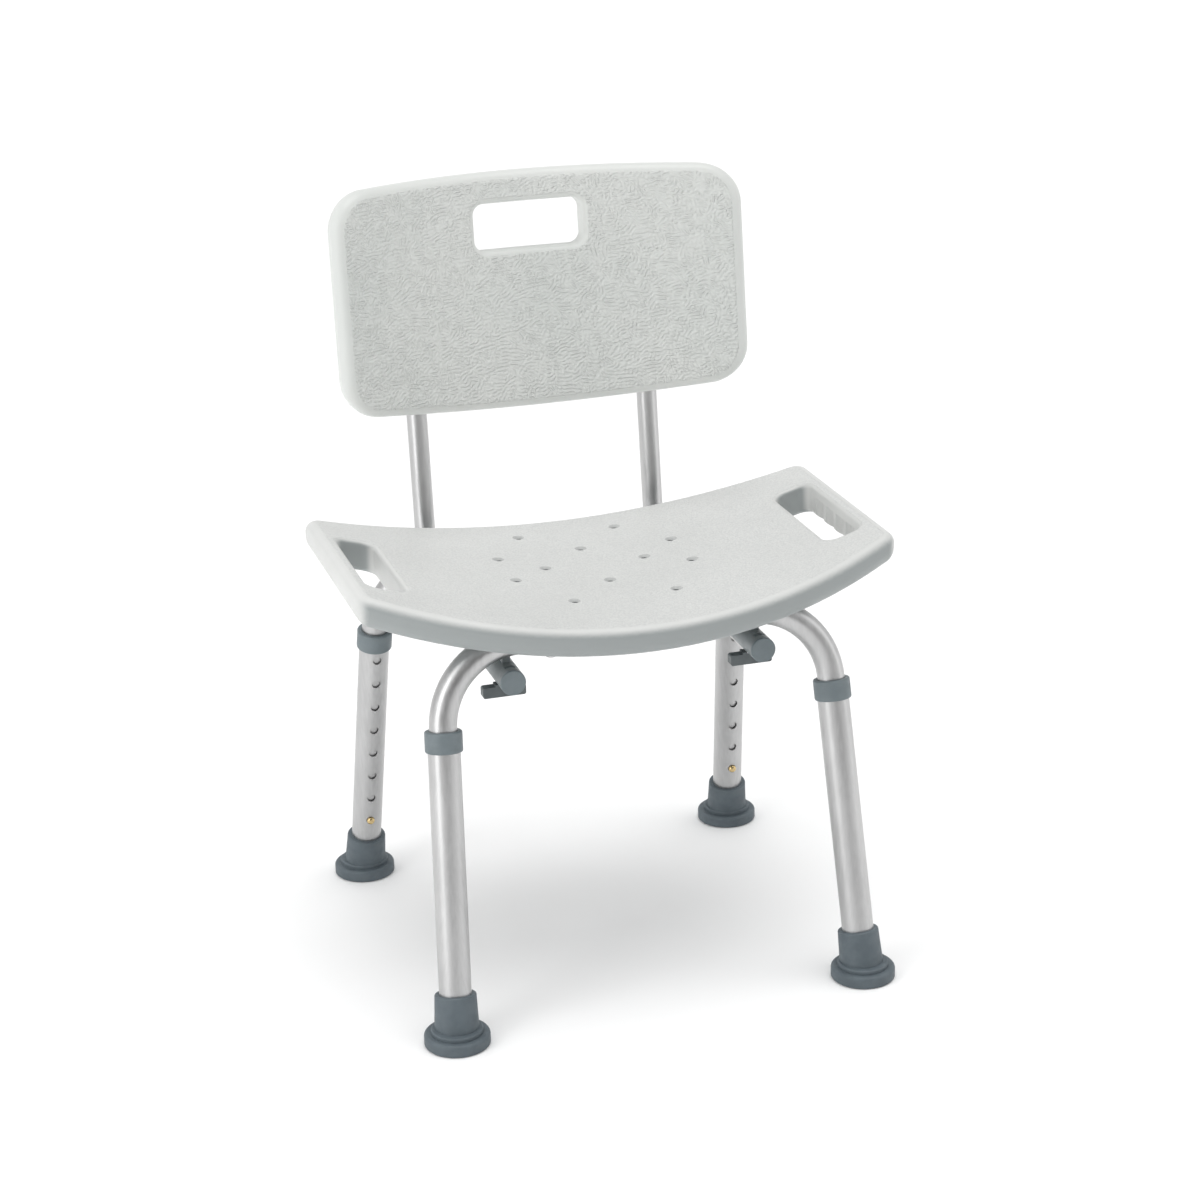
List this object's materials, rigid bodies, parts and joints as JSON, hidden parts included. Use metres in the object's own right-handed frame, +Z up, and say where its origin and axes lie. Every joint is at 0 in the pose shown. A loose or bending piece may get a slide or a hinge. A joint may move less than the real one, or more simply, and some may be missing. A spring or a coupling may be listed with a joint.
{
  "type": "shower chair",
  "caption": "Height-adjustable shower chair: curved plastic seat with drain and hand holes, tubular aluminium legs with rubber tips, and a slide-off backrest on two posts.",
  "frame": {"origin": "on the floor, under the middle of the whole chair", "axes": "+X to the sitter's left, -Y the way the sitter faces, +Z up"},
  "size_m": [0.48, 0.4307, 0.6683],
  "materials": {
    "seat_plastic": "satin",
    "panel_plastic": "satin",
    "aluminium_tube": "satin",
    "grey_trim": "matte",
    "grey_housing": "satin",
    "lock_grey": "matte",
    "rubber_tip": "matte",
    "brass_button": "polished",
    "spring_steel": "satin",
    "screw_steel": "polished"
  },
  "bodies": {
    "frame": {"button_spring_front_left": "spring_steel", "button_spring_front_right": "spring_steel", "button_spring_rear_left": "spring_steel", "button_spring_rear_right": "spring_steel", "front_leg_frame": "aluminium_tube", "rear_leg_frame": "aluminium_tube", "seat": "seat_plastic", "seat_inserts": "brass_button", "saddle_washers": "grey_trim", "seat_screws": "screw_steel", "receiver_left": "grey_housing", "receiver_cap_left": "grey_trim", "lock_spring_left": "spring_steel", "lock_rivet_left": "spring_steel", "receiver_right": "grey_housing", "receiver_cap_right": "grey_trim", "lock_spring_right": "spring_steel", "lock_rivet_right": "spring_steel", "receiver_saddles": "grey_housing"},
    "leg_front_left": {"leg_tube_front_left": "aluminium_tube", "collar_front_left": "grey_trim", "foot_tip_front_left": "rubber_tip", "tip_washer_front_left": "spring_steel"},
    "button_front_left": {"snap_button_front_left": "brass_button"},
    "leg_front_right": {"leg_tube_front_right": "aluminium_tube", "collar_front_right": "grey_trim", "foot_tip_front_right": "rubber_tip", "tip_washer_front_right": "spring_steel"},
    "button_front_right": {"snap_button_front_right": "brass_button"},
    "leg_rear_left": {"leg_tube_rear_left": "aluminium_tube", "collar_rear_left": "grey_trim", "foot_tip_rear_left": "rubber_tip", "tip_washer_rear_left": "spring_steel"},
    "button_rear_left": {"snap_button_rear_left": "brass_button"},
    "leg_rear_right": {"leg_tube_rear_right": "aluminium_tube", "collar_rear_right": "grey_trim", "foot_tip_rear_right": "rubber_tip", "tip_washer_rear_right": "spring_steel"},
    "button_rear_right": {"snap_button_rear_right": "brass_button"},
    "latch_left": {"lock_tab_left": "lock_grey", "lock_pin_left": "screw_steel"},
    "latch_right": {"lock_tab_right": "lock_grey", "lock_pin_right": "screw_steel"},
    "backrest": {"backrest_panel": "panel_plastic", "back_post_left": "aluminium_tube", "back_post_right": "aluminium_tube", "post_plug_left": "grey_trim", "post_plug_right": "grey_trim", "panel_screws": "screw_steel"}
  },
  "joints": [
    {"name": "leg_slide_front_left", "type": "slide", "parent": "frame", "child": "leg_front_left", "axis": [-0.0422, -0.1912, -0.9806], "range_m": [0, 0.1778], "deforming": ["snap_button_front_left"]},
    {"name": "button_press_front_left", "type": "slide", "parent": "frame", "child": "button_front_left", "axis": [0, -0.9815, 0.1914], "range_m": [0, 0.0046], "stiffness_N_per_m": 2000, "deforming": ["button_spring_front_left"]},
    {"name": "leg_slide_front_right", "type": "slide", "parent": "frame", "child": "leg_front_right", "axis": [0.0422, -0.1912, -0.9806], "range_m": [0, 0.1778], "deforming": ["snap_button_front_right"]},
    {"name": "button_press_front_right", "type": "slide", "parent": "frame", "child": "button_front_right", "axis": [0, -0.9815, 0.1914], "range_m": [0, 0.0046], "stiffness_N_per_m": 2000, "deforming": ["button_spring_front_right"]},
    {"name": "leg_slide_rear_left", "type": "slide", "parent": "frame", "child": "leg_rear_left", "axis": [-0.0422, 0.1912, -0.9806], "range_m": [0, 0.1778], "deforming": ["snap_button_rear_left"]},
    {"name": "button_press_rear_left", "type": "slide", "parent": "frame", "child": "button_rear_left", "axis": [0, 0.9815, 0.1914], "range_m": [0, 0.0046], "stiffness_N_per_m": 2000, "deforming": ["button_spring_rear_left"]},
    {"name": "leg_slide_rear_right", "type": "slide", "parent": "frame", "child": "leg_rear_right", "axis": [0.0422, 0.1912, -0.9806], "range_m": [0, 0.1778], "deforming": ["snap_button_rear_right"]},
    {"name": "button_press_rear_right", "type": "slide", "parent": "frame", "child": "button_rear_right", "axis": [0, 0.9815, 0.1914], "range_m": [0, 0.0046], "stiffness_N_per_m": 2000, "deforming": ["button_spring_rear_right"]},
    {"name": "lock_pull_left", "type": "slide", "parent": "frame", "child": "latch_left", "axis": [0, 0, -1], "range_m": [0, 0.005], "stiffness_N_per_m": 2000, "deforming": ["lock_spring_left"]},
    {"name": "lock_pull_right", "type": "slide", "parent": "frame", "child": "latch_right", "axis": [0, 0, -1], "range_m": [0, 0.005], "stiffness_N_per_m": 2000, "deforming": ["lock_spring_right"]},
    {"name": "backrest_slide", "type": "slide", "parent": "frame", "child": "backrest", "axis": [0, 1, 0], "range_m": [0, 0.226], "deforming": ["lock_pin_left", "lock_pin_right"]}
  ]
}
